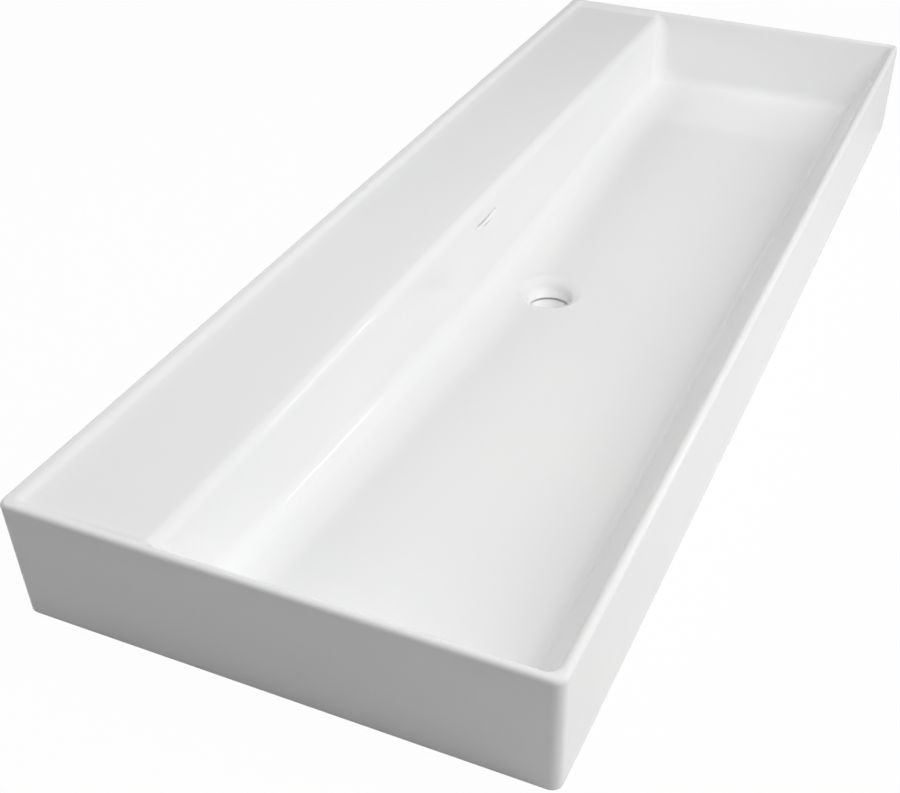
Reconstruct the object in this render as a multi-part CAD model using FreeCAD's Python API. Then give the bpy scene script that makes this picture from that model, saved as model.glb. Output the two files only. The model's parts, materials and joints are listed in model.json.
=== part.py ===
"""Vanity basin in glazed fireclay, modelled as the clay pieces it is put together from before firing.

Frame: the origin is on the axis of the drain, at the height of the cabinet top that the basin stands on.
+X runs along the basin to its right end, +Y to the wall behind it, +Z up. Sizes are in millimetres.
"""
import math
import os

import FreeCAD
import Part
from FreeCAD import Vector

# Outside of the basin
LENGTH = 1200.0
DEPTH = 450.0
APRON_HEIGHT = 110.0
APRON_WALL = 12.0
RIM_WIDTH = 8.0
CORNER_ROUND = 9.0
RIM_OUTER_ROUND = 4.5
RIM_INNER_ROUND = 4.0
BEARING_EDGE_ROUND = 2.0

# Deck behind the bowl, sunk below the rim
DECK_WIDTH = 130.0
DECK_DROP = 5.0
DECK_THICKNESS = 10.0
DECK_EDGE_ROUND = 7.0
DECK_COVE = 2.5

# Bowl: leans are measured from the vertical, the fall of the floor from the horizontal
BOWL_SHELL = 10.0
END_LEAN = 19.6
FRONT_LEAN = 26.0
REAR_LEAN = 5.0
BOWL_CORNER_ROUND = 18.0
BOWL_COVE = 16.0
FLOOR_LOW = 11.0
FLOOR_FALL = 2.1
VALLEY_ROUND = 2500.0

# Drain boss under the lowest point of the floor; the overflow enters its bore through a groove
DRAIN_TO_DECK = 74.0
DRAIN_BORE = 46.0
DRAIN_FLARE = 68.0
FLARE_DEPTH = 6.0
BORE_LIP_ROUND = 2.0
BORE_NECK = 13.0
GROOVE_HEIGHT = 6.0
GROOVE_DEPTH = 9.0
BOSS_DIAMETER = 92.0
BOSS_DROP = 34.0
BOSS_SEAM_MARGIN = 1.5

# Overflow: half-moon inlet in the rear wall of the bowl, duct behind it, port into the groove
INLET_WIDTH = 52.0
INLET_HEIGHT = 10.0
INLET_BELOW_DECK = 17.0
DUCT_WIDTH = 60.0
DUCT_GAP = 14.0
DUCT_WALL = 6.0
PORT_WIDTH = 36.0
PANEL_MARGIN = 14.0

# Pads round the wall bolts, and webs under the deck: one beside each pad and one nearer to each end
BOLT_SPACING = 280.0
BOLT_BELOW_DECK = 37.0
BOLT_HOLE = 16.0
PAD_WIDTH = 60.0
PAD_HEIGHT = 50.0
PAD_THICKNESS = 10.0
WEB_FROM_PAD = 60.0
WEB_FROM_END = 160.0
WEB_THICKNESS = 10.0
WEB_LIFT = 28.0

# Length by which a cutting shape runs past what it cuts, the share of a wall that roundings may take,
# how near to a plane an edge counts as lying on it, and the steepest angle at which a face counts as level
OVERCUT = 20.0
ROUND_SHARE = 0.95
ON_PLANE = 0.5
LEVEL_LIMIT = 45.0

# Planes that several pieces share
REAR_EDGE_Y = DRAIN_TO_DECK
WALL_Y = REAR_EDGE_Y + DECK_WIDTH
FRONT_Y = WALL_Y - DEPTH
HALF = LENGTH / 2
DECK_TOP = APRON_HEIGHT - DECK_DROP
DECK_UNDER = DECK_TOP - DECK_THICKNESS
INLET_TOP = DECK_TOP - INLET_BELOW_DECK
BOLT_HEIGHT = DECK_UNDER - BOLT_BELOW_DECK
BOSS_BOTTOM = -BOSS_DROP
THROAT = FLOOR_LOW - FLARE_DEPTH
GROOVE_TOP = THROAT - BORE_NECK
GROOVE_LOW = GROOVE_TOP - GROOVE_HEIGHT
WEB_PLACES = {"inner": (BOLT_SPACING + PAD_WIDTH) / 2 + WEB_FROM_PAD, "outer": HALF - WEB_FROM_END}
SIDES = {"left": -1, "right": 1}


def slope(degrees):
    return math.tan(math.radians(degrees))


def across(thickness, degrees):
    """Level distance through a wall of this thickness that leans by this angle."""
    return thickness / math.cos(math.radians(degrees))


def end_x(z, shell=0.0):
    """X of the right end wall of the bowl at height z, moved outwards by a shell thickness."""
    return HALF - RIM_WIDTH - (APRON_HEIGHT - z) * slope(END_LEAN) + across(shell, END_LEAN)


def front_y(z, shell=0.0):
    """Y of the front wall of the bowl at height z, moved outwards by a shell thickness."""
    return FRONT_Y + RIM_WIDTH + (APRON_HEIGHT - z) * slope(FRONT_LEAN) - across(shell, FRONT_LEAN)


def rear_y(z, shell=0.0):
    """Y of the rear wall of the bowl at height z, moved outwards by a shell thickness."""
    return REAR_EDGE_Y - (DECK_TOP - z) * slope(REAR_LEAN) + across(shell, REAR_LEAN)


def floor_apex(shell=0.0):
    """Height at which the two halves of the floor would meet if the valley were sharp."""
    return FLOOR_LOW - VALLEY_ROUND * (across(1.0, FLOOR_FALL) - 1) - across(shell, FLOOR_FALL)


def foot_x(shell=0.0):
    """X at which the floor meets the right end wall, both planes continued to a sharp edge."""
    top = end_x(0.0, shell) + slope(END_LEAN) * floor_apex(shell)
    return top / (1 - slope(END_LEAN) * slope(FLOOR_FALL))


def limited(radius, room):
    """A rounding's radius, kept a little smaller than the room that its wall leaves for it."""
    return min(radius, ROUND_SHARE * room)


def box(x, y, z):
    """A block given by its lowest and highest x, y and z."""
    return Part.makeBox(x[1] - x[0], y[1] - y[0], z[1] - z[0], Vector(x[0], y[0], z[0]))


def polygon_prism(points, direction):
    """A solid swept from a closed outline of straight edges."""
    return Part.Face(Part.makePolygon(points + points[:1])).extrude(direction)


def along_x(profile, half_width):
    """A solid from a YZ outline, carried along X to both sides of the middle."""
    points = [Vector(-half_width, y, z) for y, z in profile]
    return polygon_prism(points, Vector(2 * half_width, 0, 0))


def edges_where(shape, test):
    return [edge for edge in shape.Edges if test(edge)]


def is_upright(edge):
    """True for an edge that climbs more than it runs."""
    start, end = edge.Vertexes[0].Point, edge.Vertexes[-1].Point
    return abs(end.z - start.z) > math.hypot(end.x - start.x, end.y - start.y)


def is_level(face):
    """True for a face that is nearer to level than to upright at its middle."""
    low_u, high_u, low_v, high_v = face.ParameterRange
    normal = face.normalAt((low_u + high_u) / 2, (low_v + high_v) / 2)
    return abs(normal.z) > math.cos(math.radians(LEVEL_LIMIT))


def is_foot(shape, edge, below):
    """True for an edge under a height where a wall stands on a floor."""
    if edge.BoundBox.ZMax > below:
        return False
    faces = shape.ancestorsOfType(edge, Part.Face)
    return sum(is_level(face) for face in faces) == 1


def outer_block():
    """The plain block of the basin with its outside edges rounded."""
    block = box((-HALF, HALF), (FRONT_Y, WALL_Y), (0, APRON_HEIGHT))
    block = block.makeFillet(CORNER_ROUND, edges_where(block, is_upright))
    top = edges_where(block, lambda edge: edge.BoundBox.ZMin > APRON_HEIGHT - ON_PLANE)
    block = block.makeFillet(RIM_OUTER_ROUND, top)
    bottom = edges_where(block, lambda edge: edge.BoundBox.ZMax < ON_PLANE)
    return block.makeFillet(BEARING_EDGE_ROUND, bottom)


def between_ends(low):
    """Everything between the two end walls from a height up to above the rim."""
    high = APRON_HEIGHT + OVERCUT
    outline = [(-end_x(high), high), (-end_x(low), low), (end_x(low), low), (end_x(high), high)]
    points = [Vector(x, FRONT_Y - OVERCUT, z) for x, z in outline]
    return polygon_prism(points, Vector(0, DEPTH + 2 * OVERCUT, 0))


def between_ends_above_floor(shell=0.0):
    """Everything between the end walls and above the floor, which falls to a rounded valley at x = 0."""
    high = APRON_HEIGHT + OVERCUT
    y = FRONT_Y - OVERCUT
    valley = VALLEY_ROUND + shell
    reach = valley * math.sin(math.radians(FLOOR_FALL))
    foot = foot_x(shell)
    apex = floor_apex(shell)
    left_top = Vector(-end_x(high, shell), y, high)
    left_foot = Vector(-foot, y, apex + foot * slope(FLOOR_FALL))
    left_valley = Vector(-reach, y, apex + reach * slope(FLOOR_FALL))
    middle = Vector(0, y, FLOOR_LOW - shell)
    right_valley = Vector(reach, y, left_valley.z)
    right_foot = Vector(foot, y, left_foot.z)
    right_top = Vector(-left_top.x, y, high)
    edges = [Part.makeLine(left_top, left_foot), Part.makeLine(left_foot, left_valley),
             Part.Arc(left_valley, middle, right_valley).toShape(),
             Part.makeLine(right_valley, right_foot), Part.makeLine(right_foot, right_top),
             Part.makeLine(right_top, left_top)]
    return Part.Face(Part.Wire(edges)).extrude(Vector(0, DEPTH + 2 * OVERCUT, 0))


def bowl_space(shell=0.0):
    """The space in the bowl with its corners and coves, or the same grown by a shell thickness."""
    low, high = BOSS_BOTTOM, APRON_HEIGHT + OVERCUT
    profile = [(front_y(high, shell), high), (front_y(low, shell), low),
               (rear_y(low, shell), low), (rear_y(high, shell), high)]
    space = between_ends_above_floor(shell).common(along_x(profile, LENGTH))
    corner = BOWL_CORNER_ROUND + shell
    space = space.makeFillet(corner, edges_where(space, is_upright))
    feet = edges_where(space, lambda edge: is_foot(space, edge, DECK_UNDER))
    return space.makeFillet(limited(BOWL_COVE + shell, corner), feet)


def deck_space():
    """The shallow space over the deck, with a cove where the deck meets the rim."""
    high = APRON_HEIGHT + OVERCUT
    back = WALL_Y - APRON_WALL
    lean = slope(END_LEAN)
    front = REAR_EDGE_Y - 2 * BOWL_CORNER_ROUND
    profile = [(front, high), (front, DECK_TOP),
               (back - DECK_DROP * lean, DECK_TOP), (back + OVERCUT * lean, high)]
    space = between_ends(DECK_TOP).common(along_x(profile, LENGTH))
    corners = edges_where(space, lambda edge: is_upright(edge) and edge.BoundBox.YMin > REAR_EDGE_Y)
    space = space.makeFillet(BOWL_CORNER_ROUND, corners)
    feet = edges_where(space, lambda edge: is_foot(space, edge, APRON_HEIGHT)
                       and edge.BoundBox.YMax > REAR_EDGE_Y)
    rise = 1 - math.sin(math.radians(END_LEAN))
    return space.makeFillet(limited(DECK_COVE, DECK_DROP / rise - RIM_INNER_ROUND), feet)


def deck_edge_cutter():
    """What the rounding takes off the sharp edge between the deck and the rear wall of the bowl."""
    half_turn = math.radians(90 - REAR_LEAN) / 2
    tangent = DECK_EDGE_ROUND * math.tan(half_turn)
    centre = (REAR_EDGE_Y + tangent, DECK_TOP - DECK_EDGE_ROUND)
    lean = math.radians(REAR_LEAN)
    on_deck = Vector(-HALF, centre[0], DECK_TOP)
    on_wall = Vector(-HALF, REAR_EDGE_Y - tangent * math.sin(lean), DECK_TOP - tangent * math.cos(lean))
    out = DECK_EDGE_ROUND * Vector(0, -math.cos(half_turn - lean), math.sin(half_turn - lean))
    crown = Vector(-HALF, *centre) + out
    above = Vector(0, 0, DECK_DROP)
    before = Vector(0, -DECK_DROP, 0)
    corner = Vector(-HALF, REAR_EDGE_Y, DECK_TOP) + above + before
    points = [on_wall, on_wall + before, corner, on_deck + above, on_deck]
    edges = [Part.makeLine(start, end) for start, end in zip(points, points[1:])]
    edges.append(Part.Arc(on_deck, crown, on_wall).toShape())
    return Part.Face(Part.Wire(edges)).extrude(Vector(LENGTH, 0, 0)).common(between_ends(0))


def basin_body(bowl, bowl_outside):
    """The hollow basin in one piece, with no drain and no overflow in it yet."""
    body = outer_block().cut(bowl).cut(deck_space()).cut(deck_edge_cutter()).removeSplitter()
    inside_rim = HALF - (RIM_WIDTH + RIM_OUTER_ROUND) / 2
    rim = edges_where(body, lambda edge: edge.BoundBox.ZMin > APRON_HEIGHT - ON_PLANE
                      and edge.BoundBox.XMax < inside_rim and edge.BoundBox.XMin > -inside_rim
                      and edge.BoundBox.YMin > FRONT_Y + HALF - inside_rim
                      and edge.BoundBox.YMax < WALL_Y - HALF + inside_rim)
    body = body.makeFillet(RIM_INNER_ROUND, rim)
    inner = HALF - APRON_WALL
    hollow = box((-inner, inner), (FRONT_Y + APRON_WALL, WALL_Y - APRON_WALL), (-OVERCUT, DECK_UNDER))
    return body.cut(hollow.cut(bowl_outside))


def top_pieces(body):
    """Rim strips and deck: all of the basin above the underside of the deck."""
    top = (DECK_UNDER, APRON_HEIGHT + OVERCUT)
    inner = end_x(DECK_UNDER) - RIM_INNER_ROUND
    strip_end = front_y(DECK_UNDER) + BOWL_CORNER_ROUND
    deck_start = rear_y(DECK_UNDER) - BOWL_CORNER_ROUND
    everywhere = (-LENGTH, LENGTH)
    pieces = {"rim_front": body.common(box(everywhere, (-LENGTH, strip_end), top)),
              "deck": body.common(box(everywhere, (deck_start, LENGTH), top))}
    for name, side in SIDES.items():
        span = sorted((side * inner, side * LENGTH))
        pieces["rim_" + name] = body.common(box(span, (strip_end, deck_start), top))
    return pieces


def apron_pieces(body):
    """The four upright slabs under the rim; the front and back ones run past the ends of the others."""
    below = (-OVERCUT, DECK_UNDER)
    front, back = FRONT_Y + APRON_WALL, WALL_Y - APRON_WALL
    everywhere = (-LENGTH, LENGTH)
    pieces = {"apron_front": body.common(box(everywhere, (-LENGTH, front), below)),
              "apron_back": body.common(box(everywhere, (back, LENGTH), below))}
    for name, side in SIDES.items():
        span = sorted((side * (HALF - APRON_WALL), side * LENGTH))
        pieces["apron_" + name] = body.common(box(span, (front, back), below))
    return pieces


def bowl_pieces(body):
    """Floor slab, which takes in the whole boss, and the walls; the front and rear walls hold the corners.

    The rear wall is in three lengths, and the middle one is the panel that the overflow goes through.
    """
    below = (-OVERCUT, DECK_UNDER)
    inner = HALF - APRON_WALL
    boss_reach = BOSS_DIAMETER / 2 + BOSS_SEAM_MARGIN
    front = min(front_y(FLOOR_LOW) + BOWL_COVE, -boss_reach)
    rear = max(rear_y(FLOOR_LOW) - BOWL_COVE, boss_reach)
    foot = foot_x() - BOWL_COVE
    panel = DUCT_WIDTH / 2 + DUCT_WALL + PANEL_MARGIN
    behind = (rear, WALL_Y - APRON_WALL)
    pieces = {"bowl_front": body.common(box((-inner, inner), (FRONT_Y + APRON_WALL, front), below)),
              "overflow_panel": body.common(box((-panel, panel), behind, below)),
              "bowl_floor": body.common(box((-foot, foot), (front, rear), below))}
    for name, side in SIDES.items():
        end_span = sorted((side * foot, side * inner))
        pieces["bowl_" + name] = body.common(box(end_span, (front, rear), below))
        rear_span = sorted((side * panel, side * inner))
        pieces["bowl_back_" + name] = body.common(box(rear_span, behind, below))
    return pieces


def boss_blank():
    """The plug of clay round the drain, up through the floor."""
    return Part.makeCylinder(BOSS_DIAMETER / 2, BOSS_DROP + DECK_UNDER, Vector(0, 0, BOSS_BOTTOM))


def drain_boss(bowl):
    """Boss with a flared mouth level with the floor, the drain bore, and the overflow groove and port."""
    boss = boss_blank().cut(bowl)
    radius = DRAIN_BORE / 2
    rise = DECK_UNDER - THROAT
    run = (DRAIN_FLARE / 2 - radius) * rise / FLARE_DEPTH
    boss = boss.cut(Part.makeCone(radius, radius + run, rise, Vector(0, 0, THROAT)))
    boss = boss.cut(Part.makeCylinder(radius, BOSS_DROP + THROAT + OVERCUT, Vector(0, 0, BOSS_BOTTOM - OVERCUT)))
    lip = edges_where(boss, lambda edge: edge.BoundBox.ZMax < THROAT + BORE_LIP_ROUND
                      and edge.BoundBox.ZMin > THROAT - BORE_LIP_ROUND and edge.BoundBox.XMax < BOSS_DIAMETER / 2)
    boss = boss.makeFillet(BORE_LIP_ROUND, lip)
    groove = Part.makeCylinder(radius + GROOVE_DEPTH, GROOVE_HEIGHT, Vector(0, 0, GROOVE_LOW))
    port = box((-PORT_WIDTH / 2, PORT_WIDTH / 2), (0, BOSS_DIAMETER), (GROOVE_LOW, GROOVE_TOP))
    return boss.cut(groove).cut(port)


def overflow_inlet():
    """Half-moon cutter: straight on top, round below, through the rear wall."""
    half = INLET_WIDTH / 2
    near = rear_y(INLET_TOP - INLET_HEIGHT) - OVERCUT
    left, right = Vector(-half, near, INLET_TOP), Vector(half, near, INLET_TOP)
    lowest = Vector(0, near, INLET_TOP - INLET_HEIGHT)
    wire = Part.Wire([Part.makeLine(left, right), Part.Arc(right, lowest, left).toShape()])
    return Part.Face(wire).extrude(Vector(0, DECK_WIDTH, 0))


def duct_prism(wall, half_width):
    """Run from the underside of the deck down behind the bowl and forward under it, grown by a wall."""
    top = DECK_UNDER
    bottom = GROOVE_LOW - wall
    depth = DUCT_GAP + wall
    profile = [(0, bottom), (rear_y(bottom, BOWL_SHELL) + depth, bottom),
               (rear_y(top, BOWL_SHELL) + depth, top), (0, top)]
    return along_x(profile, half_width + wall)


def overflow_duct(bowl_outside):
    """Trough stuck to the bowl and the deck: it leads from the inlet down and forward to the drain boss."""
    duct = duct_prism(DUCT_WALL, DUCT_WIDTH / 2).cut(duct_prism(0.0, DUCT_WIDTH / 2))
    return duct.cut(bowl_outside).cut(boss_blank())


def web(x, bowl_outside):
    """Upright plate under the deck, from the rear wall of the bowl to the back of the apron."""
    half = WEB_THICKNESS / 2
    start = rear_y(0.0)
    plate = box((x - half, x + half), (start, WALL_Y - APRON_WALL), (WEB_LIFT, DECK_UNDER))
    return plate.cut(bowl_outside)


def bolt_hole(side):
    """Cutter for a wall bolt, along Y through the back of the apron and its pad."""
    reach = APRON_WALL + PAD_THICKNESS + OVERCUT
    place = Vector(side * BOLT_SPACING / 2, WALL_Y - reach, BOLT_HEIGHT)
    return Part.makeCylinder(BOLT_HOLE / 2, reach + OVERCUT, place, Vector(0, 1, 0))


def fixing_pad(side):
    """Block that thickens the back of the apron round one wall bolt."""
    x = side * BOLT_SPACING / 2
    back = WALL_Y - APRON_WALL
    pad = box((x - PAD_WIDTH / 2, x + PAD_WIDTH / 2), (back - PAD_THICKNESS, back),
              (BOLT_HEIGHT - PAD_HEIGHT / 2, BOLT_HEIGHT + PAD_HEIGHT / 2))
    return pad.cut(bolt_hole(side))


def build():
    """All pieces of the basin by name."""
    bowl = bowl_space()
    bowl_outside = bowl_space(BOWL_SHELL)
    body = basin_body(bowl, bowl_outside)
    pieces = {**top_pieces(body), **apron_pieces(body), **bowl_pieces(body.cut(boss_blank()))}
    pieces["overflow_panel"] = pieces["overflow_panel"].cut(overflow_inlet())
    pieces["drain_boss"] = drain_boss(bowl)
    pieces["overflow_duct"] = overflow_duct(bowl_outside)
    for name, side in SIDES.items():
        pieces["apron_back"] = pieces["apron_back"].cut(bolt_hole(side))
        pieces["fixing_pad_" + name] = fixing_pad(side)
        for place, x in WEB_PLACES.items():
            pieces["web_" + name + "_" + place] = web(side * x, bowl_outside)
    return pieces


os.makedirs("parts", exist_ok=True)
for node, shape in build().items():
    shape.exportStep("parts/" + node + ".step")
    size = shape.BoundBox
    print(f"{node}: {len(shape.Solids)} solid, {shape.Volume / 1000:.1f} cm3, valid {shape.isValid()}, "
          f"{size.XLength:.1f} x {size.YLength:.1f} x {size.ZLength:.1f} mm")
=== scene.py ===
# %% [markdown]
# # A long vanity basin in glazed fireclay
# The real basin is pressed and cast from clay pieces, joined while they are soft, glazed white and fired
# once. After the kiln it is a single ceramic body, so the skin that shows has no joints: the glaze runs
# from the bowl over the rim and down the apron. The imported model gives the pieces, their sizes and the
# mounts; this lesson gives the fired skin, the finishes, the light and the camera.

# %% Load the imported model
import json
import math

import bmesh
import bpy
import numpy as np
from mathutils import Matrix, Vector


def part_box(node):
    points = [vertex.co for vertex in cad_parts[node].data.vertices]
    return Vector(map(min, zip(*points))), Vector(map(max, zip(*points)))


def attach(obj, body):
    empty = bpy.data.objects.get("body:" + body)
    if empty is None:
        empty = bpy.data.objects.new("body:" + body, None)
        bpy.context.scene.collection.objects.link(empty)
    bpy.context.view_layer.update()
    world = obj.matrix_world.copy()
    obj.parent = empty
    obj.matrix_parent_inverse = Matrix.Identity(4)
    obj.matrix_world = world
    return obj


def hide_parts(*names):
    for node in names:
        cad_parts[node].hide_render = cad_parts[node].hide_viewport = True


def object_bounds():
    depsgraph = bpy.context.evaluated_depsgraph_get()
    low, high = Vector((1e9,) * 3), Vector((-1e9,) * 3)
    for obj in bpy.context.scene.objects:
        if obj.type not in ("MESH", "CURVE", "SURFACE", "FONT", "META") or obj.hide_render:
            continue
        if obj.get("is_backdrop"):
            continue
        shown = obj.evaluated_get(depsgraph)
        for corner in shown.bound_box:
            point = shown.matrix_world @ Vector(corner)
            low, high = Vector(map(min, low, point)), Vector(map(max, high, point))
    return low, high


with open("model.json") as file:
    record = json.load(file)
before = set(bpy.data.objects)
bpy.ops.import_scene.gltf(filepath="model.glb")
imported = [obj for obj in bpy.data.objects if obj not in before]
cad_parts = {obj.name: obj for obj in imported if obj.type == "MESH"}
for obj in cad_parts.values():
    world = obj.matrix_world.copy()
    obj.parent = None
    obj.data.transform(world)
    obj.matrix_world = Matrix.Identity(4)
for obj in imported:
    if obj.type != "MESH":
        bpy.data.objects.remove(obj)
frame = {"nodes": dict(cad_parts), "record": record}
cad_low, cad_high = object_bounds()
print("packed nodes:", len(frame["nodes"]), "box in metres:", list(cad_low), list(cad_high))

# %% [markdown]
# ## Camera
# The photograph looks down on the basin from beyond its left end. The straight edges of the basin fix
# the view: parallel edges run to common vanishing points, and these give the two angles, the focal
# length and the place of the optical axis in the picture. That axis isn't in the middle of the picture,
# so the lens is shifted.

# %% Place the camera
IMAGE_WIDTH, IMAGE_HEIGHT = 900, 793
FOCAL_PIXELS = 1288.6
AXIS_PIXEL = (504.1, 482.8)
AZIMUTH, ELEVATION, ROLL = np.radians([-66.9, 39.1, 0.2])
CAMERA_PLACE = (-1.1200, -0.4261, 0.7209)
SENSOR_WIDTH = 36.0


def camera_axes(azimuth, elevation, roll):
    """Rows are the camera's right, up and back directions.

    Back points from the basin to the camera, right is level and square to it, up is their cross product,
    and the roll turns right and up about back.
    """
    level = np.cos(elevation)
    back = np.array([np.sin(azimuth) * level, -np.cos(azimuth) * level, np.sin(elevation)])
    right = np.array([np.cos(azimuth), np.sin(azimuth), 0.0])
    up = np.cross(back, right)
    turn = np.array([[np.cos(roll), np.sin(roll), 0], [-np.sin(roll), np.cos(roll), 0], [0, 0, 1]])
    return turn @ np.array([right, up, back])


camera_data = bpy.data.cameras.new("photo_camera")
camera_data.sensor_width = SENSOR_WIDTH
camera_data.lens = FOCAL_PIXELS * SENSOR_WIDTH / IMAGE_WIDTH
camera_data.shift_x = (IMAGE_WIDTH / 2 - AXIS_PIXEL[0]) / IMAGE_WIDTH
camera_data.shift_y = (AXIS_PIXEL[1] - IMAGE_HEIGHT / 2) / IMAGE_WIDTH
camera = bpy.data.objects.new("photo_camera", camera_data)
bpy.context.scene.collection.objects.link(camera)
placement = np.eye(4)
placement[:3, :3] = camera_axes(AZIMUTH, ELEVATION, ROLL).T
placement[:3, 3] = CAMERA_PLACE
camera.matrix_world = Matrix(placement)
bpy.context.scene.camera = camera
print("lens in mm:", round(camera_data.lens, 2))

# %% [markdown]
# ## Sizes
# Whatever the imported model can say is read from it: the outside, the apron's wall, the underside of the
# deck, the drain boss, the wall bolts. The slopes inside the bowl can't be read from boxes, so they are
# named here with the values that the basin was drawn with. Some of the small roundings are a little
# softer than drawn, as the glaze leaves them.

# %% Read and name the sizes
mm = 0.001
apron_low, apron_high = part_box("apron_front")
boss_low, boss_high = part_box("drain_boss")
HALF = apron_high.x
FRONT = apron_low.y
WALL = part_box("apron_back")[1].y
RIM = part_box("rim_front")[1].z
DECK_UNDER = apron_high.z
APRON_WALL = apron_high.y - apron_low.y
BOSS_RADIUS = boss_high.x
BOSS_BOTTOM = boss_low.z
MIDDLE_Y = (FRONT + WALL) / 2
HALF_DEPTH = (WALL - FRONT) / 2

DECK = RIM - 5 * mm
REAR_EDGE = 74 * mm
SHELL = 10 * mm
RIM_WIDTH = 8 * mm
END_LEAN, FRONT_LEAN, REAR_LEAN, BACK_LEAN, FLOOR_FALL = np.radians([19.6, 26, 5, 19.6, 2.1])
FLOOR_LOW = 11 * mm
VALLEY_ROUND = 2500 * mm

CORNER_ROUND = 9 * mm
RIM_OUTER_ROUND = 4 * mm
RIM_INNER_ROUND = 6 * mm
BEARING_ROUND = 2 * mm
DECK_EDGE_ROUND = 9 * mm
DECK_COVE = 3 * mm
DECK_CORNER = 8 * mm
BOWL_CORNER = 18 * mm
BOWL_COVE = 16 * mm
HOLLOW_ROUND = 6 * mm
FRONT_FOOT_EASE, REAR_FOOT_EASE = (70 * mm, 110 * mm), (60 * mm, 15 * mm)
RIM_EASE = (20 * mm, 60 * mm)
print("outside in mm:", round(2 * HALF / mm), round(2 * HALF_DEPTH / mm), round(RIM / mm))

# %% [markdown]
# ## The skin as one formula
# Fired clay has no sharp edges: the glaze and the sponge round every one. A mesh with a bevel on each
# edge could show that, but where three roundings of different size meet a bevel leaves creases. Here the
# shape is a signed distance instead: negative in the clay, positive outside. Flat faces are planes, and
# two planes are joined by a larger-of-two that turns the edge between them into an arc. The bowl, the
# block and the hollow below are such joins, and the basin is the block without the bowl and without the
# hollow.


# %% Write the skin of the basin
def round_max(a, b, radius, lean=0.0):
    """The larger of two signed distances, with an arc in place of the edge where they are equal.

    Lean is the sine of how far the two faces are from square. The arc's centre is one radius inside both
    faces. With p and q the distances from the centre square to the faces, the distance from it is the root of
    (p squared + q squared - 2 lean p q) / (1 - lean squared). The arc holds where neither p nor q falls
    behind.
    """
    p, q = a + radius, b + radius
    reach = np.sqrt(np.maximum(p**2 + q**2 - 2 * lean * p * q, 0) / (1 - lean**2))
    on_arc = (p > lean * q) & (q > lean * p)
    return np.where(on_arc, reach - radius, np.maximum(a, b))


def floor_height(x):
    """Height of the bowl's floor: two planes that fall to the middle, with a wide arc along the valley."""
    run = np.abs(x)
    reach = VALLEY_ROUND * np.sin(FLOOR_FALL)
    arc = VALLEY_ROUND - np.sqrt(VALLEY_ROUND**2 - np.minimum(run, reach) ** 2)
    return FLOOR_LOW + arc + np.maximum(run - reach, 0) * np.tan(FLOOR_FALL)


def foot_lean(y):
    """Sine of the lean of the wall that meets the floor: front, ends or rear, easing from one to the next."""
    front_eases = [FRONT + away for away in FRONT_FOOT_EASE]
    rear_eases = [REAR_EDGE - away for away in REAR_FOOT_EASE]
    return np.interp(y, front_eases + rear_eases, np.sin([FRONT_LEAN, END_LEAN, END_LEAN, REAR_LEAN]))


def rim_lean(y):
    """Sine of the lean of the wall below the rim, easing from the front to the ends."""
    return np.interp(y, [FRONT + away for away in RIM_EASE], np.sin([FRONT_LEAN, END_LEAN]))


def bowl_walls(x, y, z):
    """Signed distances to the bowl's end walls, front wall and rear wall, negative in the bowl."""
    ends = (np.abs(x) - HALF + RIM_WIDTH + (RIM - z) * np.tan(END_LEAN)) * np.cos(END_LEAN)
    front = (FRONT + RIM_WIDTH + (RIM - z) * np.tan(FRONT_LEAN) - y) * np.cos(FRONT_LEAN)
    rear = (y - REAR_EDGE + (DECK - z) * np.tan(REAR_LEAN)) * np.cos(REAR_LEAN)
    return ends, front, rear


def room_above(x, y, z):
    """Signed distance to the air over the basin: the bowl and the step over the deck, as one space."""
    ends, front, rear = bowl_walls(x, y, z)
    ledge = round_max(-rear, z - DECK, DECK_EDGE_ROUND)
    back = (y - WALL + APRON_WALL + (RIM - z) * np.tan(BACK_LEAN)) * np.cos(BACK_LEAN)
    behind = round_max(-ledge, back, DECK_COVE)
    corner = np.interp(z, [DECK - BOWL_CORNER, DECK], [BOWL_CORNER, DECK_CORNER])
    sides = round_max(ends, np.maximum(front, behind), corner)
    return round_max(sides, floor_height(x) - z, BOWL_COVE, foot_lean(y))


def room_below(x, y, z):
    """Signed distance to the hollow under the basin: inside the apron, below the deck, outside the shell."""
    ends, front, rear = bowl_walls(x, y, z)
    sides = round_max(ends, np.maximum(front, rear), BOWL_CORNER)
    bowl = round_max(sides, floor_height(x) - z, BOWL_COVE, foot_lean(y))
    past_ends = np.abs(x) - HALF + APRON_WALL
    past_sides = np.abs(y - MIDDLE_Y) - HALF_DEPTH + APRON_WALL
    inside = round_max(past_ends, past_sides, HOLLOW_ROUND)
    under = round_max(inside, z - DECK_UNDER, HOLLOW_ROUND)
    return round_max(under, SHELL - bowl, HOLLOW_ROUND)


def block(x, y, z):
    """Signed distance to the basin's outside, as if it were a solid block with rounded edges."""
    sides = round_max(np.abs(x) - HALF, np.abs(y - MIDDLE_Y) - HALF_DEPTH, CORNER_ROUND)
    return round_max(round_max(sides, z - RIM, RIM_OUTER_ROUND), -z, BEARING_ROUND)


def upper_skin(x, y, z):
    """The block less the room above it: all that is seen from above."""
    return round_max(block(x, y, z), -room_above(x, y, z), RIM_INNER_ROUND, rim_lean(y))


def lower_skin(x, y, z):
    """The block less the hollow below it: the apron, and all that is seen from below."""
    return round_max(block(x, y, z), -room_below(x, y, z), BEARING_ROUND)


def slope(skin, points, step=0.02 * mm):
    """How fast the distance to a skin grows along x, y and z, by differences over a short step each way."""
    offsets = step * np.eye(3).reshape(3, 3, *([1] * (points.ndim - 1)))
    return np.stack([skin(*(points + o)) - skin(*(points - o)) for o in offsets]) / (2 * step)


def slide_onto(skin, points, rounds=10):
    """Newton's rule: a point moves down the slope by its distance over the slope, until it is on the skin."""
    for _ in range(rounds):
        rise = slope(skin, points)
        points = points - rise * skin(*points) / (rise**2).sum(0)
    return points


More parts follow.
